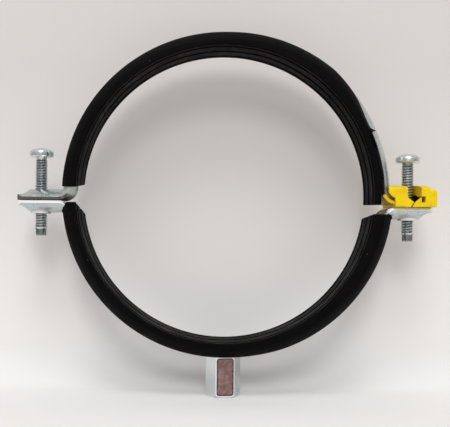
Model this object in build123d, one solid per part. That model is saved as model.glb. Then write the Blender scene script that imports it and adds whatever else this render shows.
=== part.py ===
from build123d import *
import os
from math import asin, atan, cos, degrees, radians, sin, sqrt

# Rubber lined pipe clamp for a 5 inch pipe: two crowned steel half bands, each in a rubber lining,
# held by two screws. X runs from the plain ears to the ears with the locking clip, Y along the
# pipe, Z up. The origin is on the pipe's axis, half way along the width.
# All lengths are in millimetres and all angles in degrees.

# Rubber lining
bore_radius = 72.0  # rib tops of the unclamped ring, for a 139.7 mm pipe
lining_width = 26.0
base_thickness = 2.5  # rubber between the rib tops and the band's edges
lip_thickness = 1.3
mouth_width = 15.6  # bare steel between the two lips
groove_width = 2.4
groove_depth = 1.6
edge_bead_width = 2.5
bead_rounding = 0.6
lip_rounding = 0.7
lip_turn = 24.0  # the band's angle past which the lips have slipped off it
tail_turn = 10.0  # raw length beyond the split, before the ends are cut
bare_base_thickness = 4.2  # rubber where the lips are folded under the band

# Steel band
band_thickness = 2.0
band_chord = 18.0  # across the hollow side of the crowned strip
crown_rise = 3.8
bend_inner_radius = 1.0
band_edge_rounding = 0.3
ear_tip = 10.2  # from the screws to the ends of the ears
ear_corner_radius = 4.0
band_spread = 2.6  # the upper band has sprung open by this on the clip side
rest_gap = 0.1  # between the two halves where one rests on the other

# Heights of the ears' hollow sides
plain_ear_height = -3.2
clip_ear_height = -2.6

# Heights of the lining's four knife-cut ends, front then back
upper_plain_end = (2.9, 5.8)
upper_clip_end = (-4.6, -3.5)
lower_plain_end = (-4.3, -9.3)
lower_clip_end = (-9.0, -10.6)

# Screws
screw_inset = 10.0  # from the start of the ears' flat length
screw_radius = 3.0
screw_length = 39.0
thread_clearance = 0.05
head_radius = 6.0
head_height = 4.6
head_rim_height = 1.9
recess_width = 1.3
recess_span = 5.6
recess_depth = 2.4
point_radius = 2.3
point_length = 4.0
point_taper = 0.8
plain_head_height = 18.4  # underside of the head over the plain ears
clip_head_height = 17.0
ear_slot_width = 8.0
ear_slot_length = 9.8
collar_radius = 4.9
collar_drop = 1.2  # below the crown of the ear

# Connection nut
nut_flats = 15.0
nut_bottom = -99.3
weld_rise = 1.2  # the weld reaches this far up beside the crown
nut_chamfer = 0.9
weld_radius = 6.6
thread_core_radius = 4.25  # M10
thread_depth = 10.0
inner_core_radius = 3.35  # M8
inner_depth = 6.0
thread_mouth_radius = 5.2

# Locking clip
clip_back = 12.3  # from the screw to the end that faces the pipe
clip_step_inset = 3.2  # from the step to the outer end
clip_overhang = 0.6  # beyond the ear
clip_width = 25.4
clip_shoulder = 3.9  # top of the front and back walls
clip_crown = 5.7
clip_step_drop = 1.4
clip_floor_thickness = 2.7
clip_entry = 3.1  # where the ear's edges go in behind the clip's walls
clip_rounding = 0.7
throat_width = 6.7
tongue_thickness = 1.5
tongue_turn = 60.0
nose_reach = 3.0
nose_height = 4.6
nose_depth = 2.2
nose_root = 0.5
nose_gap = 0.9
window_width = 1.9
window_height = 2.9
window_floor = -3.1

# The section of the strip, measured from the line between its two inner edges
band_seat_radius = bore_radius + base_thickness
crown_inner_radius = ((band_chord / 2) ** 2 + crown_rise**2) / (2 * crown_rise)
crown_outer_radius = crown_inner_radius + band_thickness
crown_centre = crown_rise - crown_inner_radius
crown_top = crown_rise + band_thickness
edge_angle = asin(band_chord / 2 / crown_inner_radius)
edge_offset = crown_centre + crown_outer_radius * cos(edge_angle)
band_half_width = crown_outer_radius * sin(edge_angle)
bend_radius = crown_top + bend_inner_radius
screw_position = band_seat_radius + bend_radius + screw_inset
ear_reach = screw_position + ear_tip

lower_plain_height = plain_ear_height - rest_gap
lower_clip_height = clip_ear_height - clip_floor_thickness - rest_gap


# Sections: local x is the distance from the turning axis, local y runs along the pipe.
# side is 1 where the crown lies away from the axis and -1 where it faces it.


def band_section(seat, side):
    def at(rise, along):
        return (seat + side * rise, along)

    half_chord = band_chord / 2
    inner = ThreePointArc(at(0, half_chord), at(crown_rise, 0), at(0, -half_chord))
    outer = ThreePointArc(
        at(edge_offset, -band_half_width), at(crown_top, 0), at(edge_offset, band_half_width)
    )
    near_edge = Line(inner @ 1, outer @ 0)
    far_edge = Line(outer @ 1, inner @ 0)
    strip = make_face([inner, near_edge, outer, far_edge])
    return fillet(strip.vertices(), band_edge_rounding)


def slab_section(seat, side, low, high, width):
    return Pos(seat + side * (low + high) / 2, 0) * Rectangle(high - low, width)


def groove_section(seat, side):
    groove_step = (lining_width - 2 * edge_bead_width - groove_width) / 2
    grooves = Sketch()
    for place in (-groove_step, 0, groove_step):
        groove = slab_section(seat, side, -base_thickness, groove_depth - base_thickness, groove_width)
        grooves += Pos(0, place) * groove
    return grooves


def base_section(seat, side, thickness):
    slab = slab_section(seat, side, -base_thickness, thickness - base_thickness, lining_width)
    return slab - groove_section(seat, side)


def lining_section(seat, side, depth=base_thickness):
    centre = Pos(seat + side * crown_centre, 0)
    rim = crown_top + lip_thickness
    body = slab_section(seat, side, -depth, rim, lining_width)
    body &= centre * Circle(crown_outer_radius + lip_thickness)
    lip_corners = [corner for corner in body.vertices() if side * (corner.X - seat) > 0]
    body = fillet(lip_corners, lip_rounding)
    mouth = slab_section(seat, side, 0, rim + lip_thickness, mouth_width)
    mouth -= centre * Circle(crown_outer_radius)
    return body - mouth - band_section(seat, side) - groove_section(seat, side)


def turned(section, centre, start, end):
    direction = Vector(cos(radians(start)), 0, sin(radians(start)))
    plane = Plane(origin=centre, x_dir=direction, z_dir=(-direction.Z, 0, direction.X))
    return revolve(plane * section, Axis(centre, (0, -1, 0)), end - start)


# One quarter of a half band, on the +X side with the ring above the ears.


def bend_centre(ear_height, spread):
    height = ear_height + bend_radius
    across = sqrt((band_seat_radius + bend_radius) ** 2 - height**2)
    return (spread + across, 0, height)


def bend_start(ear_height):
    return degrees(asin((ear_height + bend_radius) / (band_seat_radius + bend_radius)))


def ear_plate(ear_height, start):
    plane = Plane(origin=(start, 0, 0), x_dir=(0, 0, 1), z_dir=(1, 0, 0))
    plate = extrude(plane * band_section(ear_height, 1), ear_reach - start)
    plan = RectangleRounded(2 * ear_reach, 2 * band_half_width, ear_corner_radius)
    return plate & extrude(Pos(0, 0, ear_height) * plan, crown_top)


def band_quarter(ear_height, spread):
    centre = bend_centre(ear_height, spread)
    start = bend_start(ear_height)
    ring = turned(band_section(band_seat_radius, 1), (spread, 0, 0), start, 90)
    bend = turned(band_section(bend_radius, -1), centre, 180 + start, 270)
    return ring + bend + ear_plate(ear_height, centre[0])


def lining_quarter(ear_height, flare_turn):
    centre = bend_centre(ear_height, 0)
    start = bend_start(ear_height)
    origin = (0, 0, 0)
    ring = turned(lining_section(band_seat_radius, 1), origin, start, 90)
    flare = turned(lining_section(bend_radius, -1), centre, 180 + start, 180 + start + flare_turn)
    tail = turned(base_section(band_seat_radius, 1, base_thickness), origin, -start, start)
    return ring + flare + tail


def below(end_heights, side):
    front, back = end_heights
    reach = 2 * ear_reach
    tilt = degrees(atan((back - front) / lining_width))
    half = Align.MIN if side > 0 else Align.MAX
    block = Box(reach, reach, reach, align=(half, Align.CENTER, Align.MAX))
    return Pos(0, 0, (front + back) / 2) * Rot(tilt, 0, 0) * block


def left(shape):
    return mirror(shape, Plane.YZ)


def upside_down(shape):
    return mirror(shape, Plane.XY)


def flipped(end_heights):
    return tuple(-height for height in end_heights)


# Steel bands


def upper_band():
    quarter = band_quarter(clip_ear_height, band_spread)
    other = left(band_quarter(plain_ear_height, 0))
    plane = Plane(origin=(0, 0, 0), x_dir=(0, 0, 1), z_dir=(1, 0, 0))
    crest = extrude(plane * band_section(band_seat_radius, 1), band_spread)
    slot = Pos(-screw_position, 0, plain_ear_height) * SlotOverall(ear_slot_length, ear_slot_width)
    round_end = Pos(screw_position, 0, clip_ear_height) * Circle(ear_slot_width / 2)
    mouth = Rectangle(ear_slot_width, 2 * band_half_width, align=(Align.CENTER, Align.MAX))
    open_slot = round_end + Pos(screw_position, 0, clip_ear_height) * mouth
    return quarter + crest + other - extrude(slot, crown_top) - extrude(open_slot, crown_top)


def lower_band():
    band = band_quarter(-lower_clip_height, 0) + left(band_quarter(-lower_plain_height, 0))
    for side, ear_height in ((1, -lower_clip_height), (-1, -lower_plain_height)):
        foot = Pos(side * screw_position, 0, ear_height + crown_rise)
        collar_height = band_thickness + collar_drop
        band += extrude(foot * Circle(collar_radius), collar_height)
        bore = Pos(side * screw_position, 0, ear_height) * Circle(screw_radius + thread_clearance)
        band -= extrude(bore, crown_rise + collar_height)
    return upside_down(band)


# Rubber linings


# The lips follow the sprung band while the ribs stay on the pipe's circle.
def sprung_lining():
    origin = (0, 0, 0)
    hidden_depth = base_thickness + 2 * band_spread
    plane = Plane(origin=origin, x_dir=(0, 0, 1), z_dir=(1, 0, 0))
    section = lining_section(band_seat_radius, 1, hidden_depth)
    held = turned(section, (band_spread, 0, 0), lip_turn, 90) + extrude(plane * section, band_spread)
    bare_rise = bare_base_thickness - base_thickness
    bare = slab_section(band_seat_radius, 1, -hidden_depth, bare_rise, lining_width)
    side = held + turned(bare, origin, -tail_turn, lip_turn)
    side -= Rot(90, 0, 0) * Cylinder(bore_radius, 2 * lining_width)
    return side - turned(groove_section(band_seat_radius, 1), origin, -tail_turn, 90)


# Takes the sharp corner off the lining's two outermost ribs.
def bead_corners():
    half_width = lining_width / 2
    corner = Rectangle(bead_rounding, bead_rounding, align=(Align.MIN, Align.MAX))
    corner -= Pos(bead_rounding, -bead_rounding) * Circle(bead_rounding)
    section = Pos(bore_radius, half_width) * corner
    section += mirror(section, Plane.XZ)
    return turned(section, (0, 0, 0), -2 * tail_turn, 180 + 2 * tail_turn)


def upper_lining(band):
    lining = sprung_lining() + left(lining_quarter(plain_ear_height, 30))
    lining -= below(upper_clip_end, 1) + below(upper_plain_end, -1)
    return lining - bead_corners() - band


def lower_lining(band):
    lining = lining_quarter(-lower_clip_height, 45) + left(lining_quarter(-lower_plain_height, 45))
    lining -= below(flipped(lower_clip_end), 1) + below(flipped(lower_plain_end), -1)
    return upside_down(lining - bead_corners()) - band


# Fasteners


standing = (Align.CENTER, Align.CENTER, Align.MIN)


def connection_nut(band):
    crown_height = band_seat_radius + crown_top
    length = -nut_bottom - crown_height
    corner_radius = nut_flats / sqrt(3)
    prism = extrude(RegularPolygon(corner_radius, 6), length)
    turned_ends = Cylinder(corner_radius, length, align=standing)
    prism &= chamfer(turned_ends.edges().filter_by(GeomType.CIRCLE), nut_chamfer)
    weld = Pos(0, 0, length / 2) * Cylinder(weld_radius, length / 2 + weld_rise, align=standing)
    hole = Cylinder(thread_core_radius, thread_depth, align=standing)
    hole += Cylinder(inner_core_radius, thread_depth + inner_depth, align=standing)
    mouth_depth = thread_mouth_radius - thread_core_radius
    hole += Cone(thread_mouth_radius, thread_core_radius, mouth_depth, align=standing)
    return Pos(0, 0, nut_bottom) * (prism + weld - hole) - band


def screw(side, head_height_above):
    axis = Line((0, head_height), (0, -screw_length))
    shoulder = -screw_length + point_length
    outline = Polyline(
        (0, -screw_length),
        (point_radius - point_taper / 2, -screw_length),
        (point_radius, -screw_length + point_taper),
        (point_radius, shoulder - point_taper),
        (screw_radius, shoulder),
        (screw_radius, 0),
        (head_radius, 0),
        (head_radius, head_rim_height),
    )
    dome_height = head_height - head_rim_height
    dome = EllipticalCenterArc((0, head_rim_height), head_radius, dome_height, 0, arc_size=90)
    body = revolve(Plane.XZ * make_face([axis, outline, dome]), Axis.Z)
    for turn in (0, 90):
        arm = Box(recess_span, recess_width, 2 * recess_depth)
        body -= Pos(0, 0, head_height) * Rot(0, 0, turn) * arm
    return Pos(side * screw_position, 0, head_height_above) * body


# Moulded locking clip, pushed over the ear and round the screw


def clip_block(start, end, drop):
    floor = clip_ear_height - clip_floor_thickness
    plane = Plane(origin=(start, 0, 0), x_dir=(0, 1, 0), z_dir=(1, 0, 0))
    half_width = clip_width / 2
    walls = Polyline(
        (half_width, clip_shoulder - drop),
        (half_width, floor),
        (-half_width, floor),
        (-half_width, clip_shoulder - drop),
    )
    roof = ThreePointArc(walls @ 1, (0, clip_crown - drop), walls @ 0)
    outline = make_face([walls, roof])
    return extrude(plane * fillet(outline.vertices(), clip_rounding), end - start)


# Two hooked noses that meet in front of the screw
def clip_noses():
    floor = clip_ear_height - clip_floor_thickness
    near_jaw = screw_position - throat_width / 2
    far_jaw = screw_position + throat_width / 2
    plane = Plane(origin=(0, -clip_width / 2, 0), x_dir=(1, 0, 0), z_dir=(0, -1, 0))
    near = Polyline(
        (near_jaw - nose_root, floor),
        (near_jaw + nose_reach / 2, floor),
        (near_jaw + nose_reach, floor + nose_height / 2),
        (near_jaw, floor + nose_height),
        (near_jaw - nose_root, floor + nose_height),
        close=True,
    )
    far = Polyline(
        (far_jaw + nose_root, floor),
        (near_jaw + nose_reach / 2 + nose_gap, floor),
        (near_jaw + nose_reach + nose_gap, floor + nose_height / 2),
        (far_jaw, floor + nose_height),
        (far_jaw + nose_root, floor + nose_height),
        close=True,
    )
    return extrude(plane * (make_face(near) + make_face(far)), -nose_depth)


def clip_pocket(bend_end):
    plane = Plane(origin=(bend_end, 0, 0), x_dir=(0, 0, 1), z_dir=(1, 0, 0))
    half_chord = band_chord / 2
    chord = Line((clip_ear_height, -half_chord), (clip_ear_height, half_chord))
    crown = ThreePointArc(chord @ 0, (clip_ear_height + crown_rise, 0), chord @ 1)
    return extrude(plane * make_face([chord, crown]), ear_reach - bend_end)


def locking_clip(band):
    centre = bend_centre(clip_ear_height, band_spread)
    start = screw_position - clip_back
    end = ear_reach + clip_overhang
    step = end - clip_step_inset
    clip = clip_block(start, step, 0) + clip_block(step, end, clip_step_drop)
    # The walls stop short of the bend, whose edges stay open to view.
    height = 4 * crown_top
    entry = Box(clip_entry, clip_width, height, align=(Align.MIN, Align.CENTER, Align.CENTER))
    inside_bend = Pos(*centre) * Rot(90, 0, 0) * Cylinder(bend_radius - edge_offset, clip_width)
    clip -= Pos(start, 0, clip_ear_height) * entry - inside_bend
    clip -= clip_pocket(centre[0])
    # The tongue hugs the hollow side of the bend.
    strip = slab_section(bend_radius, -1, -tongue_thickness, 0, 2 * band_half_width)
    clip += turned(strip, centre, 270 - tongue_turn, 270)
    # The throat takes the screw from the front.
    throat = Cylinder(throat_width / 2, height)
    throat += Box(throat_width, clip_width, height, align=(Align.CENTER, Align.MAX, Align.CENTER))
    clip -= Pos(screw_position, 0, 0) * throat
    clip += clip_noses()
    window = Box(window_width, clip_width / 2, window_height, align=(Align.MIN, Align.MAX, Align.MIN))
    clip -= Pos(screw_position + throat_width / 2, 0, window_floor) * window
    return clip - band


def build():
    upper_steel = upper_band()
    lower_steel = lower_band()
    return {
        "upper_band": upper_steel,
        "lower_band": lower_steel,
        "upper_lining": upper_lining(upper_steel),
        "lower_lining": lower_lining(lower_steel),
        "connection_nut": connection_nut(lower_steel),
        "left_screw": screw(-1, plain_head_height),
        "right_screw": screw(1, clip_head_height),
        "locking_clip": locking_clip(upper_steel),
    }


os.makedirs("parts", exist_ok=True)
for name, shape in build().items():
    export_step(shape, f"parts/{name}.step")
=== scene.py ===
import bmesh
import bpy
from math import atan2, cos, degrees, hypot, pi, radians, sin, sqrt
from mathutils import Matrix, Vector


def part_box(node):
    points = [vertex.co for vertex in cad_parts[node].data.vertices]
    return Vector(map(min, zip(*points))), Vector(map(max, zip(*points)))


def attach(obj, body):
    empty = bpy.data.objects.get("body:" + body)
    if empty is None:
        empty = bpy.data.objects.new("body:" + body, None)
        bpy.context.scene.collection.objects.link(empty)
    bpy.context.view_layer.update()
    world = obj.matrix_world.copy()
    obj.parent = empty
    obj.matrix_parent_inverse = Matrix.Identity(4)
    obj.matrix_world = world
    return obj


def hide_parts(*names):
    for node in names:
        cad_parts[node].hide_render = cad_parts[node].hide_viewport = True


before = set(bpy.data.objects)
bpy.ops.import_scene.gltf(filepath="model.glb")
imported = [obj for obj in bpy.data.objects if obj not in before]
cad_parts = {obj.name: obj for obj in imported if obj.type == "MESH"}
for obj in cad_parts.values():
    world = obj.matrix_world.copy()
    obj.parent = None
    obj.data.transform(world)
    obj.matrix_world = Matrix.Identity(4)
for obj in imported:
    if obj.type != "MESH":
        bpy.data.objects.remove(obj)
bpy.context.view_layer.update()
mm = 0.001
screwAcross = 91.3  # from the pipe's axis to each screw's
print("frame loaded")

# Camera

view = {
    "place": (-8.5, -356.0, -20.5),
    "lens": 57.1,
    "shiftX": 0.04,
    "shiftY": 0.0515,
    "roll": 0.5,
}


def setCamera():
    data = bpy.data.cameras.new("view")
    data.sensor_width = 36
    data.lens = view["lens"]
    data.shift_x = view["shiftX"]
    data.shift_y = view["shiftY"]
    data.clip_start = 0.01
    camera = bpy.data.objects.new("view", data)
    bpy.context.collection.objects.link(camera)
    level = Matrix.Rotation(radians(90), 4, "X")
    roll = Matrix.Rotation(radians(view["roll"]), 4, "Z")
    camera.matrix_world = Matrix.Translation(Vector(view["place"]) * mm) @ level @ roll
    bpy.context.scene.camera = camera


setCamera()

# Small helpers for node trees


def addNode(tree, kind, inputs=None, **settings):
    node = tree.nodes.new(kind)
    for name, value in settings.items():
        setattr(node, name, value)
    for name, value in (inputs or {}).items():
        if isinstance(value, bpy.types.NodeSocket):
            tree.links.new(value, node.inputs[name])
        else:
            node.inputs[name].default_value = value
    return node


def maths(tree, operation, *values):
    inputs = dict(enumerate(values))
    return addNode(tree, "ShaderNodeMath", inputs, operation=operation).outputs[0]


def ranged(tree, value, low, high, toLow=0.0, toHigh=1.0):
    inputs = {
        "Value": value,
        "From Min": low,
        "From Max": high,
        "To Min": toLow,
        "To Max": toHigh,
    }
    return addNode(tree, "ShaderNodeMapRange", inputs, clamp=True).outputs["Result"]


def noise(tree, vector, scale, detail=2.0, roughness=0.5):
    inputs = {"Vector": vector, "Scale": scale, "Detail": detail, "Roughness": roughness}
    return addNode(tree, "ShaderNodeTexNoise", inputs).outputs["Fac"]


def hypotenuse(tree, first, second):
    squares = [maths(tree, "POWER", side, 2.0) for side in (first, second)]
    return maths(tree, "SQRT", maths(tree, "ADD", *squares))


def weighted(tree, first, firstShare, second, secondShare):
    parts = ((first, firstShare), (second, secondShare))
    return maths(tree, "ADD", *(maths(tree, "MULTIPLY", *part) for part in parts))


def split(tree, vector):
    return addNode(tree, "ShaderNodeSeparateXYZ", {"Vector": vector}).outputs


def stretched(tree, vector, scale):
    return addNode(tree, "ShaderNodeMapping", {"Vector": vector, "Scale": scale}).outputs[0]


# The sockets of a colour mix have to be picked by number
def mixed(tree, mask, first, second):
    inputs = {0: mask, 6: first, 7: second}
    return addNode(tree, "ShaderNodeMix", inputs, data_type="RGBA").outputs[2]


def newGroup(name, inputs, outputs):
    tree = bpy.data.node_groups.new(name, "ShaderNodeTree")
    for label, kind, value in inputs:
        socket = tree.interface.new_socket(label, in_out="INPUT", socket_type=kind)
        if value is not None:
            socket.default_value = value
    for label, kind in outputs:
        tree.interface.new_socket(label, in_out="OUTPUT", socket_type=kind)
    given = tree.nodes.new("NodeGroupInput").outputs
    return tree, given, tree.nodes.new("NodeGroupOutput").inputs


def usedGroup(tree, group, inputs):
    return addNode(tree, "ShaderNodeGroup", inputs, node_tree=group).outputs


ringRadius = 75.0
numberSocket, vectorSocket = "NodeSocketFloat", "NodeSocketVector"


# Place along the ring, across it and out from the pipe's axis, all in metres
def makeRingCoordinates():
    tree, _, out = newGroup("ringCoordinates", [], [("Vector", vectorSocket)])
    parts = split(tree, addNode(tree, "ShaderNodeTexCoord").outputs["Object"])
    radius = hypotenuse(tree, parts[0], parts[2])
    turn = maths(tree, "ARCTAN2", parts[2], parts[0])
    along = maths(tree, "MULTIPLY", turn, ringRadius * mm)
    inputs = {"X": along, "Y": parts[1], "Z": radius}
    joined = addNode(tree, "ShaderNodeCombineXYZ", inputs).outputs[0]
    tree.links.new(joined, out["Vector"])
    return tree


# Soft patches and small spots that turn a plated surface cloudy
def makeClouding():
    sockets = [
        ("Vector", vectorSocket, None),
        ("Patch Scale", numberSocket, 90.0),
        ("Spot Scale", numberSocket, 700.0),
    ]
    results = [("Patches", numberSocket), ("Spots", numberSocket)]
    tree, given, out = newGroup("clouding", sockets, results)
    patches = noise(tree, given["Vector"], given["Patch Scale"], 3.0, 0.6)
    spots = noise(tree, given["Vector"], given["Spot Scale"], 2.0, 0.55)
    tree.links.new(ranged(tree, patches, 0.35, 0.65), out["Patches"])
    tree.links.new(ranged(tree, spots, 0.55, 0.72), out["Spots"])
    return tree


# Sparse specks of dust
def makeDust():
    sockets = [
        ("Vector", vectorSocket, None),
        ("Scale", numberSocket, 260.0),
        ("Share", numberSocket, 0.1),
    ]
    tree, given, out = newGroup("dust", sockets, [("Specks", numberSocket)])
    inputs = {"Vector": given["Vector"], "Scale": given["Scale"]}
    cells = addNode(tree, "ShaderNodeTexVoronoi", inputs)
    drawn = addNode(tree, "ShaderNodeSeparateColor", {"Color": cells.outputs["Color"]}).outputs[0]
    picked = maths(tree, "LESS_THAN", drawn, given["Share"])
    dot = ranged(tree, cells.outputs["Distance"], 0.05, 0.12, 1.0, 0.0)
    tree.links.new(maths(tree, "MULTIPLY", dot, picked), out["Specks"])
    return tree


ringCoordinates = makeRingCoordinates()
clouding = makeClouding()
dust = makeDust()


def newMaterial(name):
    material = bpy.data.materials.new(name)
    material.use_nodes = True
    tree = material.node_tree
    tree.nodes.clear()
    out = tree.nodes.new("ShaderNodeOutputMaterial")
    shader = tree.nodes.new("ShaderNodeBsdfPrincipled")
    tree.links.new(shader.outputs[0], out.inputs["Surface"])
    place = addNode(tree, "ShaderNodeTexCoord").outputs["Object"]
    return material, tree, shader, place


def addBump(tree, shader, height, distance, strength):
    inputs = {"Height": height, "Distance": distance * mm, "Strength": strength}
    bump = addNode(tree, "ShaderNodeBump", inputs)
    tree.links.new(bump.outputs[0], shader.inputs["Normal"])


def feed(tree, shader, name, value):
    tree.links.new(value, shader.inputs[name])


# Bright zinc on the pressed strip: bluish and warm patches and rolling lines round the ring.
# The ears' cut edges get painted shade on the upper band and a painted highlight on the lower
# band, and the holes under the heads get painted shade.
zincStrip = {
    "cool": (0.47, 0.58, 0.62, 1),
    "warm": (0.62, 0.61, 0.58, 1),
    "spot": (0.26, 0.27, 0.27, 1),
    "spotShare": 0.35,
    "roughness": (0.2, 0.36),
    "patchScale": 110.0,
    "spotScale": 900.0,
    "rollingLines": (60.0, 2600.0, 2600.0),
    "grainScale": 1800.0,
    "bumpHeight": 0.03,
    "earStart": (77.0, 80.0),
    "holeRadius": (3.5, 4.3),
    # painted shade in the holes under the screw heads
    "paintedHoleShade": (0.03, 0.03, 0.035, 1),
    # painted shade on the upper ears' cut edges, painted highlight on the lower ears' cut edges
    "paintedUpperEdgeShade": (0.11, 0.088, 0.076, 1),
    "paintedLowerEdgeHighlight": (0.95, 0.95, 0.96, 1),
    "edgeRoughness": 0.5,
    "edgeMetallic": 0.1,
}


# up is 1 where the ears' crowns stand up and -1 where they hang down
def makeZincStrip(name, up, paintedEdgeLight):
    material, tree, shader, place = newMaterial(name)
    values = zincStrip
    scales = {"Patch Scale": values["patchScale"], "Spot Scale": values["spotScale"]}
    marks = usedGroup(tree, clouding, {"Vector": place, **scales})
    colour = mixed(tree, marks["Patches"], values["cool"], values["warm"])
    spotMask = maths(tree, "MULTIPLY", marks["Spots"], values["spotShare"])
    spotted = mixed(tree, spotMask, colour, values["spot"])

    parts = split(tree, place)
    faced = split(tree, addNode(tree, "ShaderNodeNewGeometry").outputs["True Normal"])
    out = maths(tree, "ABSOLUTE", parts[0])
    start, full = (limit * mm for limit in values["earStart"])
    sideways = maths(tree, "GREATER_THAN", maths(tree, "ABSOLUTE", faced[1]), 0.5)
    inward = maths(tree, "GREATER_THAN", maths(tree, "MULTIPLY", faced[2], -up), -0.25)
    cut = maths(tree, "MULTIPLY", sideways, inward)
    edge = maths(tree, "MULTIPLY", ranged(tree, out, start, full), cut)

    away = maths(tree, "SUBTRACT", out, screwAcross * mm)
    inner, outer = (limit * mm for limit in values["holeRadius"])
    # painted shade in the holes under the screw heads
    holeShadeMask = ranged(tree, hypotenuse(tree, away, parts[1]), inner, outer, 1.0, 0.0)
    # painted shade on the upper band's cut edges, a painted highlight on the lower band's
    edged = mixed(tree, edge, spotted, paintedEdgeLight)
    feed(tree, shader, "Base Color", mixed(tree, holeShadeMask, edged, values["paintedHoleShade"]))

    low, high = values["roughness"]
    plain = ranged(tree, marks["Patches"], 0.0, 1.0, low, high)
    cutRoughness = maths(tree, "MULTIPLY", edge, values["edgeRoughness"])
    feed(tree, shader, "Roughness", maths(tree, "MAXIMUM", plain, cutRoughness))
    matt = maths(tree, "MAXIMUM", edge, holeShadeMask)
    feed(tree, shader, "Metallic", ranged(tree, matt, 0.0, 1.0, 1.0, values["edgeMetallic"]))

    ring = usedGroup(tree, ringCoordinates, {})["Vector"]
    lines = noise(tree, stretched(tree, ring, values["rollingLines"]), 1.0, 2.0, 0.6)
    grain = noise(tree, place, values["grainScale"], 2.0, 0.5)
    addBump(tree, shader, weighted(tree, lines, 0.6, grain, 0.5), values["bumpHeight"], 0.6)
    return material


# Brighter and smoother plating of the rolled screws, with painted shade in the thread's groove
zincBolt = {
    "cool": (0.60, 0.69, 0.71, 1),
    "warm": (0.78, 0.79, 0.78, 1),
    # painted shade in the thread's groove
    "groove": (0.10, 0.12, 0.13, 1),
    "grooveShare": 0.7,
    "grooveRadius": (2.62, 2.95),
    "threadTop": 17.0,
    "roughness": (0.22, 0.34),
    "patchScale": 260.0,
    "grainScale": 2400.0,
    "bumpHeight": 0.02,
}


def makeZincBolt():
    material, tree, shader, place = newMaterial("zincBolt")
    values = zincBolt
    marks = usedGroup(tree, clouding, {"Vector": place, "Patch Scale": values["patchScale"]})
    plated = mixed(tree, marks["Patches"], values["cool"], values["warm"])
    parts = split(tree, place)
    across = maths(tree, "SUBTRACT", maths(tree, "ABSOLUTE", parts[0]), screwAcross * mm)
    inner, outer = (limit * mm for limit in values["grooveRadius"])
    radius = hypotenuse(tree, across, parts[1])
    # painted shade in the thread's groove
    depth = ranged(tree, radius, inner, outer, values["grooveShare"], 0.0)
    onThread = maths(tree, "LESS_THAN", parts[2], values["threadTop"] * mm)
    groove = maths(tree, "MULTIPLY", depth, onThread)
    feed(tree, shader, "Base Color", mixed(tree, groove, plated, values["groove"]))
    feed(tree, shader, "Roughness", ranged(tree, marks["Patches"], 0.0, 1.0, *values["roughness"]))
    shader.inputs["Metallic"].default_value = 1.0
    grain = noise(tree, place, values["grainScale"], 2.0, 0.5)
    addBump(tree, shader, grain, values["bumpHeight"], 0.5)
    return material


# Matt black rubber: extruded lines round the ring, a fine bloom and a few specks of dust
rubber = {
    "black": (0.0015, 0.0012, 0.0014, 1),
    "bloom": (0.0050, 0.0041, 0.0045, 1),
    "bloomScale": 70.0,
    "speck": (0.10, 0.095, 0.09, 1),
    "speckScale": 380.0,
    "speckShare": 0.05,
    "roughness": (0.5, 0.72),
    "specular": 0.05,
    "drawLines": (25.0, 1500.0, 1500.0),
    "grainScale": 2600.0,
    "bumpHeight": 0.06,
}


def makeRubber():
    material, tree, shader, place = newMaterial("blackRubber")
    values = rubber
    ring = usedGroup(tree, ringCoordinates, {})["Vector"]
    lines = noise(tree, stretched(tree, ring, values["drawLines"]), 1.0, 2.0, 0.6)
    cloud = noise(tree, place, values["bloomScale"], 4.0, 0.65)
    drawn = ranged(tree, lines, 0.3, 0.7)
    bloomMask = maths(tree, "MULTIPLY", ranged(tree, cloud, 0.4, 0.75), drawn)
    colour = mixed(tree, bloomMask, values["black"], values["bloom"])
    scales = {"Scale": values["speckScale"], "Share": values["speckShare"]}
    specks = usedGroup(tree, dust, {"Vector": place, **scales})["Specks"]
    feed(tree, shader, "Base Color", mixed(tree, specks, colour, values["speck"]))
    feed(tree, shader, "Roughness", ranged(tree, cloud, 0.35, 0.7, *values["roughness"]))
    shader.inputs["Specular IOR Level"].default_value = values["specular"]
    grain = noise(tree, place, values["grainScale"], 2.0, 0.5)
    addBump(tree, shader, weighted(tree, lines, 0.8, grain, 0.5), values["bumpHeight"], 0.6)
    return material


# Moulded yellow plastic, half gloss, a little deeper in colour in patches
plastic = {
    "light": (0.90, 0.66, 0.0, 1),
    "deep": (0.80, 0.50, 0.0, 1),
    "patchScale": 160.0,
    "roughness": (0.34, 0.46),
    "specular": 0.3,
    "grainScale": 1500.0,
    "bumpHeight": 0.03,
}


def makePlastic():
    material, tree, shader, place = newMaterial("yellowPlastic")
    values = plastic
    cloud = noise(tree, place, values["patchScale"], 3.0, 0.6)
    colour = mixed(tree, ranged(tree, cloud, 0.4, 0.7), values["light"], values["deep"])
    feed(tree, shader, "Base Color", colour)
    feed(tree, shader, "Roughness", ranged(tree, cloud, 0.3, 0.7, *values["roughness"]))
    shader.inputs["Specular IOR Level"].default_value = values["specular"]
    grain = noise(tree, place, values["grainScale"], 2.0, 0.5)
    addBump(tree, shader, grain, values["bumpHeight"], 0.5)
    return material


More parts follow.
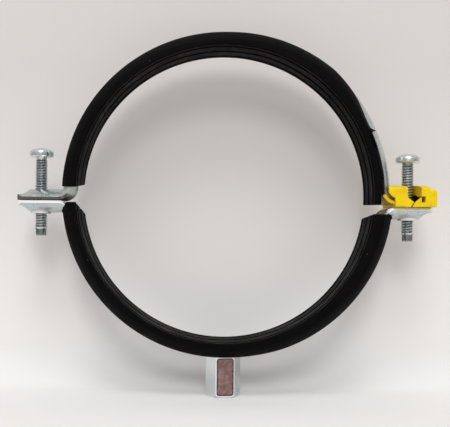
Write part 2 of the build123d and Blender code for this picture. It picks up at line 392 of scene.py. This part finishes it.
# The nut's plating, with its front and back flats brown inside a dark outline, and a painted
# highlight as a white rim beside them
nutFinish = {
    "cool": (0.62, 0.69, 0.73, 1),
    "warm": (0.74, 0.74, 0.72, 1),
    "brown": (0.20, 0.105, 0.095, 1),
    "paleBrown": (0.32, 0.20, 0.19, 1),
    "brownScale": 420.0,
    "outline": (0.012, 0.011, 0.016, 1),
    "flatHalfWidth": 4.2,
    "flatLow": -98.3,
    "flatHigh": -79.9,
    "flatOut": 7.3,  # only what lies further out than this is on a flat
    "cornerRadius": 1.3,
    "patchBlur": 0.08,
    "outlineWidth": 0.55,
    "outlineBlur": 0.2,
    "outlineWander": 0.3,
    "wanderScale": 900.0,
    "turn": 7.5,
    # painted highlight: a white rim just outside each brown flat
    "rim": (0.93, 0.95, 0.96, 1),
    "rimWidth": 0.55,
    "rimBlur": 0.1,
    "rimOut": 5.5,
    "roughness": (0.2, 0.5),
    "patchScale": 150.0,
    "grainScale": 1600.0,
    "bumpHeight": 0.03,
}


# Distance from the edge of the browned patch, less than nothing inside it
def patchDistance(tree, parts):
    values = nutFinish
    middle = (values["flatLow"] + values["flatHigh"]) / 2 * mm
    halfHeight = (values["flatHigh"] - values["flatLow"]) / 2 * mm
    corner = values["cornerRadius"] * mm
    fromMiddle = maths(tree, "ABSOLUTE", maths(tree, "SUBTRACT", parts[2], middle))
    fromSeam = maths(tree, "ABSOLUTE", parts[0])
    across = maths(tree, "SUBTRACT", fromSeam, values["flatHalfWidth"] * mm - corner)
    upward = maths(tree, "SUBTRACT", fromMiddle, halfHeight - corner)
    outsideX = maths(tree, "MAXIMUM", across, 0.0)
    outsideZ = maths(tree, "MAXIMUM", upward, 0.0)
    outside = hypotenuse(tree, outsideX, outsideZ)
    inside = maths(tree, "MINIMUM", maths(tree, "MAXIMUM", across, upward), 0.0)
    return maths(tree, "SUBTRACT", maths(tree, "ADD", outside, inside), corner)


def makeNutFinish():
    material, tree, shader, place = newMaterial("nutZinc")
    values = nutFinish
    turn = {"Vector": place, "Rotation": (0, 0, -radians(values["turn"]))}
    parts = split(tree, addNode(tree, "ShaderNodeMapping", turn).outputs[0])
    distance = patchDistance(tree, parts)
    out = maths(tree, "ABSOLUTE", parts[1])
    onFlat = maths(tree, "GREATER_THAN", out, values["flatOut"] * mm)
    blur = values["patchBlur"] * mm
    patch = maths(tree, "MULTIPLY", ranged(tree, distance, -blur, blur, 1.0, 0.0), onFlat)

    most = values["outlineWander"] * mm
    wander = ranged(tree, noise(tree, place, values["wanderScale"]), 0.3, 0.7, -most, most)
    uneven = maths(tree, "ADD", distance, wander)
    width, blur = values["outlineWidth"] * mm, values["outlineBlur"] * mm
    inner = ranged(tree, uneven, -width - blur, -width + blur, 1.0, 0.0)
    brownMask = ranged(tree, noise(tree, place, values["brownScale"], 3.0, 0.6), 0.4, 0.65)
    brownTone = mixed(tree, brownMask, values["brown"], values["paleBrown"])
    flat = mixed(tree, inner, values["outline"], brownTone)

    marks = usedGroup(tree, clouding, {"Vector": place, "Patch Scale": values["patchScale"]})
    plated = mixed(tree, marks["Patches"], values["cool"], values["warm"])
    # painted highlight: a white, nearly matt rim just outside the brown patch
    rimEnd, blur = values["rimWidth"] * mm, values["rimBlur"] * mm
    beside = ranged(tree, distance, rimEnd - blur, rimEnd + blur, 1.0, 0.0)
    nearFlat = maths(tree, "GREATER_THAN", out, values["rimOut"] * mm)
    rim = maths(tree, "MULTIPLY", beside, nearFlat)
    rimHighlighted = mixed(tree, rim, plated, values["rim"])
    feed(tree, shader, "Base Color", mixed(tree, patch, rimHighlighted, flat))
    feed(tree, shader, "Roughness", ranged(tree, patch, 0.0, 1.0, *values["roughness"]))
    matt = maths(tree, "MAXIMUM", maths(tree, "MULTIPLY", patch, 0.8), rim)
    feed(tree, shader, "Metallic", ranged(tree, matt, 0.0, 1.0, 1.0, 0.2))
    grain = noise(tree, place, values["grainScale"], 2.0, 0.5)
    addBump(tree, shader, grain, values["bumpHeight"], 0.5)
    return material


# the upper band's cut edges get painted shade, the lower band's a painted highlight
upperStripFinish = makeZincStrip("upperStrip", 1, zincStrip["paintedUpperEdgeShade"])
lowerStripFinish = makeZincStrip("lowerStrip", -1, zincStrip["paintedLowerEdgeHighlight"])
zincBoltFinish = makeZincBolt()
rubberFinish = makeRubber()
plasticFinish = makePlastic()
nutZincFinish = makeNutFinish()

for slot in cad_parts["locking_clip"].material_slots:
    slot.material = plasticFinish
print("finishes made")

# Mesh helpers


def newObject(name, mesh, finish):
    made = bpy.data.objects.new(name, mesh)
    bpy.context.collection.objects.link(made)
    mesh.materials.clear()
    mesh.materials.append(finish)
    return made


def toMesh(shape, name, smoothAngle=35):
    bmesh.ops.recalc_face_normals(shape, faces=shape.faces)
    mesh = bpy.data.meshes.new(name)
    shape.to_mesh(mesh)
    shape.free()
    if "custom_normal" in mesh.attributes:
        mesh.attributes.remove(mesh.attributes["custom_normal"])
    mesh.shade_smooth()
    mesh.set_sharp_from_angle(angle=radians(smoothAngle))
    return mesh


def chain(shape, points):
    corners = [shape.verts.new(Vector(point) * mm) for point in points]
    return [shape.edges.new(pair) for pair in zip(corners, corners[1:])]


def spunRound(shape, edges, steps):
    corners = list({corner for edge in edges for corner in edge.verts})
    bmesh.ops.spin(
        shape, geom=edges + corners, cent=(0, 0, 0), axis=(0, 0, 1), dvec=(0, 0, 0),
        angle=2 * pi, steps=steps, use_merge=True,
    )
    bmesh.ops.remove_doubles(shape, verts=shape.verts, dist=1e-6)


# A closed length of screw thread from low to high: its profile climbs one pitch in a full turn
def threadedRod(crest, root, pitch, low, high, steps=48):
    shape = bmesh.new()
    profile = ((root, 0), (root, 0.12), (crest, 0.38), (crest, 0.74))
    pitches = int((high - low) / pitch) + 4
    points = [
        (out, 0, low + (turn - 2 + share) * pitch)
        for turn in range(pitches)
        for out, share in profile
    ]
    edges = chain(shape, points)
    bmesh.ops.spin(
        shape, geom=edges + shape.verts[:], cent=(0, 0, 0), axis=(0, 0, 1),
        dvec=(0, 0, pitch * mm / steps), angle=2 * pi, steps=steps,
    )
    bmesh.ops.remove_doubles(shape, verts=shape.verts, dist=2e-6)
    for height, up in ((low, -1), (high, 1)):
        everything = shape.verts[:] + shape.edges[:] + shape.faces[:]
        cut = bmesh.ops.bisect_plane(
            shape, geom=everything, plane_co=(0, 0, height * mm), plane_no=(0, 0, up),
            clear_outer=True,
        )
        rim = [e for e in cut["geom_cut"] if isinstance(e, bmesh.types.BMEdge)]
        bmesh.ops.holes_fill(shape, edges=rim, sides=0)
    bmesh.ops.triangulate(shape, faces=[f for f in shape.faces if len(f.verts) > 4])
    bmesh.ops.recalc_face_normals(shape, faces=shape.faces)
    return shape


def addShape(shape, other):
    held = bpy.data.meshes.new("held")
    other.to_mesh(held)
    other.free()
    shape.from_mesh(held)
    bpy.data.meshes.remove(held)


# Screws: rolled thread, pan head with a cross recess, fluted point

screw = {
    "threadRadius": 3.04,
    "rootRadius": 2.5,
    "pitch": 1.3,
    "neck": 1.3,
    "neckRadius": 2.75,
    "length": 39.0,
    "pointLength": 4.0,
    "pointRadius": 2.3,
    "fluteDepth": 0.75,
    "headRadius": 6.0,
    "headHeight": 4.6,
    "rimHeight": 1.9,
    "rimRounding": 0.45,
    "recessSpan": 6.4,
    "recessWidth": 1.25,
    "recessDepth": 2.6,
    "recessTurn": 20.0,
    "recessTaper": (0.45, 0.6, 1),
    "coreRadii": (0.7, 1.5),
    "coreDepth": 3.5,
    "cutBeyond": 0.5,  # how far the recess's cutter stands out of the head
}


def headShape():
    shape = bmesh.new()
    radius, rim, height = screw["headRadius"], screw["rimHeight"], screw["headHeight"]
    rounding = screw["rimRounding"]
    start = shape.verts.new(Vector((radius, 0, rim)) * mm)
    bmesh.ops.spin(
        shape, geom=[start], cent=Vector((0, 0, rim)) * mm, axis=(0, -1, 0), dvec=(0, 0, 0),
        angle=pi / 2, steps=12,
    )
    squeeze = Matrix.Diagonal((1, 1, (height - rim) / radius, 1))
    fromRim = Matrix.Translation(Vector((0, 0, -rim)) * mm)
    bmesh.ops.transform(shape, matrix=squeeze, space=fromRim, verts=shape.verts[:])
    low = shape.verts.new(Vector((radius, 0, rounding)) * mm)
    under = shape.verts.new(Vector((radius - rounding, 0, 0)) * mm)
    middle = shape.verts.new((0, 0, 0))
    for pair in ((start, low), (low, under), (under, middle)):
        shape.edges.new(pair)
    spunRound(shape, shape.edges[:], 64)
    bmesh.ops.recalc_face_normals(shape, faces=shape.faces)
    return shape


# Four tapered arms and a deeper middle, as the driver leaves them
def recessShape():
    shape = bmesh.new()
    span, width, depth = screw["recessSpan"], screw["recessWidth"], screw["recessDepth"]
    top = screw["headHeight"] + screw["cutBeyond"]
    tall = depth + screw["cutBeyond"]
    for turn in (0, 90):
        arm = bmesh.new()
        bmesh.ops.create_cube(arm, size=1.0)
        bmesh.ops.scale(arm, vec=Vector((span, width, tall)) * mm, verts=arm.verts)
        bmesh.ops.translate(arm, vec=Vector((0, 0, top - tall / 2)) * mm, verts=arm.verts)
        foot = [v for v in arm.verts if v.co.z < (top - depth / 2) * mm]
        bmesh.ops.scale(arm, vec=screw["recessTaper"], verts=foot)
        turned = Matrix.Rotation(radians(turn + screw["recessTurn"]), 3, "Z")
        bmesh.ops.rotate(arm, cent=(0, 0, 0), matrix=turned, verts=arm.verts)
        addShape(shape, arm)
    core = bmesh.new()
    low, high = (radius * mm for radius in screw["coreRadii"])
    middle = Vector((0, 0, top - screw["coreDepth"] / 2)) * mm
    bmesh.ops.create_cone(
        core, cap_ends=True, segments=16, radius1=low, radius2=high,
        depth=screw["coreDepth"] * mm, matrix=Matrix.Translation(middle),
    )
    addShape(shape, core)
    return shape


def pointShape():
    shape = bmesh.new()
    radius, length = screw["pointRadius"], screw["pointLength"]
    bottom = -screw["length"]
    ring = bmesh.ops.create_circle(shape, segments=24, radius=radius * mm, cap_ends=True)["verts"]
    bmesh.ops.translate(shape, vec=(0, 0, bottom * mm), verts=ring)
    face = shape.faces[:]
    for height, scale in ((0.6, 1.12), (length - 1.4, 1.0), (0.9, 1.28)):
        pulled = bmesh.ops.extrude_face_region(shape, geom=face)
        moved = [v for v in pulled["geom"] if isinstance(v, bmesh.types.BMVert)]
        face = [f for f in pulled["geom"] if isinstance(f, bmesh.types.BMFace)]
        bmesh.ops.translate(shape, vec=(0, 0, height * mm), verts=moved)
        bmesh.ops.scale(shape, vec=(scale, scale, 1), verts=moved)
    top = max(v.co.z for v in shape.verts)
    inward = 1 - screw["fluteDepth"] / radius
    for corner in shape.verts:
        angle = corner.co.xy.angle_signed(Vector((1, 0)), 0)
        share = angle % (pi / 2) / (pi / 2)  # of the quarter turn, with a flute at its middle
        if abs(share - 0.5) < 0.12 and corner.co.z < top - 1e-5:
            corner.co.x *= inward
            corner.co.y *= inward
    bmesh.ops.recalc_face_normals(shape, faces=shape.faces)
    return shape


def cutAway(piece, cutter, operation="DIFFERENCE"):
    cut = piece.modifiers.new("cut", "BOOLEAN")
    cut.operation = operation
    cut.solver = "EXACT"
    cut.use_self = True
    cut.object = cutter
    seen = bpy.context.evaluated_depsgraph_get()
    mesh = bpy.data.meshes.new_from_object(piece.evaluated_get(seen))
    piece.modifiers.clear()
    old = piece.data
    piece.data = mesh
    bpy.data.meshes.remove(old)
    bpy.data.objects.remove(cutter)


def makeScrew(name, side, nodeName, body):
    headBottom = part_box(nodeName)[1].z / mm - screw["headHeight"]
    head = newObject(name, toMesh(headShape(), name), zincBoltFinish)
    recess = newObject(name + "Recess", toMesh(recessShape(), name + "Recess"), zincBoltFinish)
    cutAway(head, recess)
    shape = bmesh.new()
    shape.from_mesh(head.data)
    threadEnd = screw["pointLength"] - screw["length"] - 0.3
    radii = screw["threadRadius"], screw["rootRadius"]
    addShape(shape, threadedRod(*radii, screw["pitch"], threadEnd, -screw["neck"]))
    neck = bmesh.new()
    bmesh.ops.create_cone(
        neck, cap_ends=True, segments=48, radius1=screw["rootRadius"] * mm,
        radius2=screw["neckRadius"] * mm, depth=(screw["neck"] + 0.4) * mm,
        matrix=Matrix.Translation(Vector((0, 0, -screw["neck"] / 2)) * mm),
    )
    addShape(shape, neck)
    addShape(shape, pointShape())
    place = Vector((side * screwAcross, 0, headBottom)) * mm
    bmesh.ops.translate(shape, vec=place, verts=shape.verts)
    old = head.data
    mesh = bpy.data.meshes.new(name)
    shape.to_mesh(mesh)
    shape.free()
    mesh.shade_smooth()
    mesh.set_sharp_from_angle(angle=radians(35))
    head.data = mesh
    mesh.materials.append(zincBoltFinish)
    bpy.data.meshes.remove(old)
    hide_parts(nodeName)
    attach(head, body)


makeScrew("leftScrew", -1, "left_screw", "left_screw")
makeScrew("rightScrew", 1, "right_screw", "right_screw")
print("screws made")

# Connection nut, run up to the band's crown and turned a little, with its two threads

nut = {
    "flats": 15.0,
    "turn": 7.5,
    "bottom": -99.3,
    "top": -78.7,
    "chamfer": 0.85,
    "chamferDrop": 0.75,
    "mouthRadius": 5.3,
    "mouthDepth": 0.3,
    "outerHole": (4.25, 4.95, 1.5, 10.0),  # core and outer radius, pitch, depth reached
    "innerHole": (3.35, 3.95, 1.25, 16.0),
}


# The two threads as one spun zigzag, which is cut out of the nut
def threadedHole():
    bottom, depth = nut["bottom"], nut["mouthDepth"]
    points = [(0, 0, bottom - 1), (nut["mouthRadius"], 0, bottom - 1)]
    for core, outer, pitch, reach in (nut["outerHole"], nut["innerHole"]):
        while depth < reach:
            points += [(outer, 0, bottom + depth), (core, 0, bottom + depth + pitch / 2)]
            depth += pitch
    points.append((0, 0, bottom + depth))
    shape = bmesh.new()
    spunRound(shape, chain(shape, points), 48)
    return shape


def makeNut():
    bottom, top = nut["bottom"], nut["top"]
    corner = nut["flats"] / 2 / cos(pi / 6)
    prism = bmesh.new()
    place = Matrix.Translation(Vector((0, 0, (top + bottom) / 2)) * mm)
    turned = Matrix.Rotation(radians(30 + nut["turn"]), 4, "Z")  # 30 brings a flat to the front
    bmesh.ops.create_cone(
        prism, cap_ends=True, segments=6, radius1=corner * mm, radius2=corner * mm,
        depth=(top - bottom) * mm, matrix=place @ turned,
    )
    piece = newObject("connectionNut", toMesh(prism, "connectionNut"), nutZincFinish)
    rounded = bmesh.new()
    beyond = corner + 0.05
    outline = [
        (0, 0, bottom),
        (corner - nut["chamfer"], 0, bottom),
        (beyond, 0, bottom + nut["chamferDrop"]),
        (beyond, 0, top + 1),
        (0, 0, top + 1),
    ]
    spunRound(rounded, chain(rounded, outline), 96)
    cutAway(piece, newObject("nutRound", toMesh(rounded, "nutRound"), nutZincFinish), "INTERSECT")
    cutAway(piece, newObject("nutHole", toMesh(threadedHole(), "nutHole"), nutZincFinish))
    piece.data.shade_smooth()
    piece.data.set_sharp_from_angle(angle=radians(25))
    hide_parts("connection_nut")
    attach(piece, "lower_half")


makeNut()
print("nut made")

# Bands and linings: copies of the solids' surfaces, with the clip sides sprung to their final
# place, the lips of the upper lining drawn down, the ears' tips run out flat and shorter collars

halves = {
    "boreRadius": 72.0,
    "seatRadius": 74.5,
    "lipRadius": 79.6,
    "springBack": (0.0, 30.0),  # the sideways shift grows over this stretch
    "springLoops": (8, 15, 22, 30, 82, 84, 86.4),
    "flatStart": 82.0,  # and fades between the ear's flat and its collar
    "collarStart": 86.4,
    "upperShift": -0.8,
    "keptTurn": (20.0, 50.0),  # above this turn the upper half isn't shifted
    "lowerShift": 2.5,
    "upperSpread": 1.8,
    "slipLoops": (26, 57, 3),
    "slipStart": 56.0,  # below this turn the lips leave the band's edge
    "slipCentre": (6.97, 11.97),
    "slipRadius": 67.2,
    "bareTurn": 23.9,  # below this turn the band is bare of lips
    "bareRadius": 76.2,
    "bareFinal": 75.9,
    "crownRise": 3.8,
    "crownRadius": 12.56,
    "earReach": 101.5,
    "earBand": 8.0,  # an ear lies within this height of its flat
    "earHalfWidth": 9.0,
    "tipLoops": (0.5, 1.0, 1.6, 2.3, 3.1, 4.0, 5.0, 6.0),
    "tipFlat": 0.6,
    "tipRunOut": 6.0,
    "plainEarHeight": -3.2,
    "lowerPlainHeight": -3.3,
    "lowerClipHeight": -5.4,
    "collarRadius": 5.2,
    "collarStub": 2.9,  # what lies further below the ear's crown is the collar's end
    "collarRaise": 0.7,
}


def eased(value, low, high):
    share = min(max((value - low) / (high - low), 0), 1)
    return share * share * (3 - 2 * share)


def mergedCopy(nodeName):
    shape = bmesh.new()
    shape.from_mesh(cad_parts[nodeName].data)
    bmesh.ops.remove_doubles(shape, verts=shape.verts, dist=1e-6)
    return shape


def addLoop(shape, place, normal):
    everything = shape.verts[:] + shape.edges[:] + shape.faces[:]
    bmesh.ops.bisect_plane(shape, geom=everything, plane_co=Vector(place) * mm, plane_no=normal)


# Moves the clip side sideways. In soft rubber the shift grows from none at the bore.
def spring(shape, shift, soft):
    bore, seat = halves["boreRadius"], halves["seatRadius"]
    for across in halves["springLoops"]:
        addLoop(shape, (across, 0, 0), (1, 0, 0))
    for corner in shape.verts:
        across, height = corner.co.x / mm, corner.co.z / mm
        weight = eased(across, *halves["springBack"])
        weight *= 1 - eased(across, halves["flatStart"], halves["collarStart"])
        if shift < 0:
            weight *= 1 - eased(degrees(atan2(height, across)), *halves["keptTurn"])
        if soft:
            outward = (hypot(across, height) - bore) / (seat - bore)
            weight *= min(max(outward, 0), 1)
        corner.co.x += shift * weight * mm


# Squeezes the rubber outside the band's seat, so that its outside runs on a circle of its own
def drawDownLips(shape):
    centreX, centreZ = halves["slipCentre"]
    offset = hypot(centreX, centreZ)
    seat = halves["seatRadius"]
    for turn in range(*halves["slipLoops"]):
        addLoop(shape, (0, 0, 0), (-sin(radians(turn)), 0, cos(radians(turn))))
    for corner in shape.verts:
        across, height = corner.co.x / mm, corner.co.z / mm
        radius, turn = hypot(across, height), degrees(atan2(height, across))
        if across < 0 or turn > halves["slipStart"] or radius < seat:
            continue
        if turn < halves["bareTurn"]:
            squeeze = (halves["bareFinal"] - seat) / (halves["bareRadius"] - seat)
        else:
            away = radians(turn) - atan2(centreZ, centreX)
            aside = offset * sin(away)
            lowered = offset * cos(away) + sqrt(halves["slipRadius"] ** 2 - aside**2)
            full = halves["lipRadius"] + halves["upperSpread"] * cos(radians(turn))
            squeeze = min((lowered - seat) / (full - seat), 1)
        final = seat + (radius - seat) * squeeze
        corner.co.x *= final / radius
        corner.co.z *= final / radius


# The crown runs out over the last few millimetres of an ear. up is 1 where the crown stands up.
def flattenTip(shape, side, earHeight, up):
    reach, runOut = halves["earReach"], halves["tipRunOut"]
    radius = halves["crownRadius"]
    for distance in halves["tipLoops"]:
        addLoop(shape, (side * (reach - distance), 0, 0), (1, 0, 0))
    for corner in shape.verts:
        distance = reach - side * corner.co.x / mm
        if distance > runOut or abs(corner.co.z / mm - earHeight) > halves["earBand"]:
            continue
        along = min(abs(corner.co.y / mm), halves["earHalfWidth"])
        rise = sqrt(radius**2 - along**2) - radius + halves["crownRise"]
        kept = eased(distance, halves["tipFlat"], runOut)
        corner.co.z -= up * (1 - kept) * max(rise, 0) * mm


def shortenCollars(shape):
    for corner in shape.verts:
        for side, height in ((-1, halves["lowerPlainHeight"]), (1, halves["lowerClipHeight"])):
            away = hypot(corner.co.x / mm - side * screwAcross, corner.co.y / mm)
            below = height - halves["crownRise"] - halves["collarStub"] - corner.co.z / mm
            if away < halves["collarRadius"] and below > 0:
                corner.co.z += halves["collarRaise"] * mm


def makeHalf(name, shape, nodeName, body, finish):
    piece = newObject(name, toMesh(shape, name, 30), finish)
    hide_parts(nodeName)
    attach(piece, body)


def makeHalves():
    upperBand, lowerBand = mergedCopy("upper_band"), mergedCopy("lower_band")
    spring(upperBand, halves["upperShift"], False)
    spring(lowerBand, halves["lowerShift"], False)
    flattenTip(upperBand, -1, halves["plainEarHeight"], 1)
    flattenTip(lowerBand, -1, halves["lowerPlainHeight"], -1)
    flattenTip(lowerBand, 1, halves["lowerClipHeight"], -1)
    shortenCollars(lowerBand)
    makeHalf("upperBand", upperBand, "upper_band", "upper_half", upperStripFinish)
    makeHalf("lowerBand", lowerBand, "lower_band", "lower_half", lowerStripFinish)
    upperLining, lowerLining = mergedCopy("upper_lining"), mergedCopy("lower_lining")
    spring(upperLining, halves["upperShift"], True)
    spring(lowerLining, halves["lowerShift"], True)
    drawDownLips(upperLining)
    makeHalf("upperLining", upperLining, "upper_lining", "upper_half", rubberFinish)
    makeHalf("lowerLining", lowerLining, "lower_lining", "lower_half", rubberFinish)


makeHalves()
print("bands and linings made")

# Studio: one pale sheet as floor and wall, two soft lamps in front, one of them high up

studio = {
    "floor": -99.3,
    "wall": 28.0,
    "sweepRadius": 20.0,
    "reach": 900.0,
    # painted shading: the sheet is darker towards the top and lighter towards the floor
    "paperHigh": (0.72, 0.68, 0.665, 1),
    "paperLow": (0.895, 0.88, 0.87, 1),
    "paperFade": (-70.0, 70.0),
    "worldStrength": 0.56,
    "skyLow": (0.24, 0.235, 0.23, 1),
    "skyHigh": (1.08, 1.08, 1.08, 1),
    "skyFade": 0.4,
    "keyPower": 4.0,
    "keyPlace": (-20, -995, 671),
    "keySize": 420.0,
    "highPower": 3.8,
    "highPlace": (-40, -563, 1060),
    "highSize": 460.0,
}


def makeSheet():
    shape = bmesh.new()
    reach, floor = studio["reach"], studio["floor"]
    wall, radius = studio["wall"], studio["sweepRadius"]
    edges = chain(shape, [(-reach, -reach, floor), (reach, -reach, floor)])
    made = bmesh.ops.extrude_edge_only(shape, edges=edges)["geom"]
    moved = [v for v in made if isinstance(v, bmesh.types.BMVert)]
    bmesh.ops.translate(shape, vec=Vector((0, reach + wall - radius, 0)) * mm, verts=moved)
    edges = [e for e in made if isinstance(e, bmesh.types.BMEdge)]
    edges = [e for e in edges if all(v in moved for v in e.verts)]
    centre = Vector((0, wall - radius, floor + radius)) * mm
    turned = bmesh.ops.spin(
        shape, geom=edges + moved, cent=centre, axis=(1, 0, 0), dvec=(0, 0, 0),
        angle=pi / 2, steps=24,
    )["geom_last"]
    edges = [e for e in turned if isinstance(e, bmesh.types.BMEdge)]
    made = bmesh.ops.extrude_edge_only(shape, edges=edges)["geom"]
    moved = [v for v in made if isinstance(v, bmesh.types.BMVert)]
    bmesh.ops.translate(shape, vec=(0, 0, reach * mm), verts=moved)
    bmesh.ops.recalc_face_normals(shape, faces=shape.faces)
    shape.faces.ensure_lookup_table()
    if shape.faces[0].normal.z < 0:
        bmesh.ops.reverse_faces(shape, faces=shape.faces)
    mesh = bpy.data.meshes.new("sheet")
    shape.to_mesh(mesh)
    shape.free()
    mesh.shade_smooth()
    return mesh


def makePaper():
    material = bpy.data.materials.new("paleSheet")
    material.use_nodes = True
    tree = material.node_tree
    tree.nodes.clear()
    out = tree.nodes.new("ShaderNodeOutputMaterial")
    place = addNode(tree, "ShaderNodeTexCoord").outputs["Object"]
    height = split(tree, place)[2]
    low, high = (limit * mm for limit in studio["paperFade"])
    # painted shading: darker towards the top, lighter towards the floor
    shade = mixed(tree, ranged(tree, height, low, high), studio["paperLow"], studio["paperHigh"])
    front = addNode(tree, "ShaderNodeBsdfDiffuse", {"Color": shade})
    clear = addNode(tree, "ShaderNodeBsdfTransparent")
    behind = addNode(tree, "ShaderNodeNewGeometry").outputs["Backfacing"]
    inputs = {0: behind, 1: front.outputs[0], 2: clear.outputs[0]}
    both = addNode(tree, "ShaderNodeMixShader", inputs)
    tree.links.new(both.outputs[0], out.inputs["Surface"])
    return material


def makeLight(name, place, size, power):
    data = bpy.data.lights.new(name, "AREA")
    data.shape = "DISK"
    data.size = size * mm
    data.energy = power
    light = bpy.data.objects.new(name, data)
    bpy.context.collection.objects.link(light)
    light.location = Vector(place) * mm
    light.rotation_euler = (-light.location).to_track_quat("-Z", "Y").to_euler()


def makeWorld():
    world = bpy.data.worlds.new("studio")
    world.use_nodes = True
    tree = world.node_tree
    tree.nodes.clear()
    out = tree.nodes.new("ShaderNodeOutputWorld")
    way = addNode(tree, "ShaderNodeTexCoord").outputs["Generated"]
    height = split(tree, way)[2]
    shade = ranged(tree, height, 0.0, studio["skyFade"])
    room = mixed(tree, shade, studio["skyLow"], studio["skyHigh"])
    inputs = {"Color": room, "Strength": studio["worldStrength"]}
    light = addNode(tree, "ShaderNodeBackground", inputs)
    tree.links.new(light.outputs[0], out.inputs["Surface"])
    bpy.context.scene.world = world


newObject("sheet", makeSheet(), makePaper())
makeLight("key", studio["keyPlace"], studio["keySize"], studio["keyPower"])
makeLight("high", studio["highPlace"], studio["highSize"], studio["highPower"])
makeWorld()
bpy.context.scene.view_settings.view_transform = "Standard"
print("studio made")
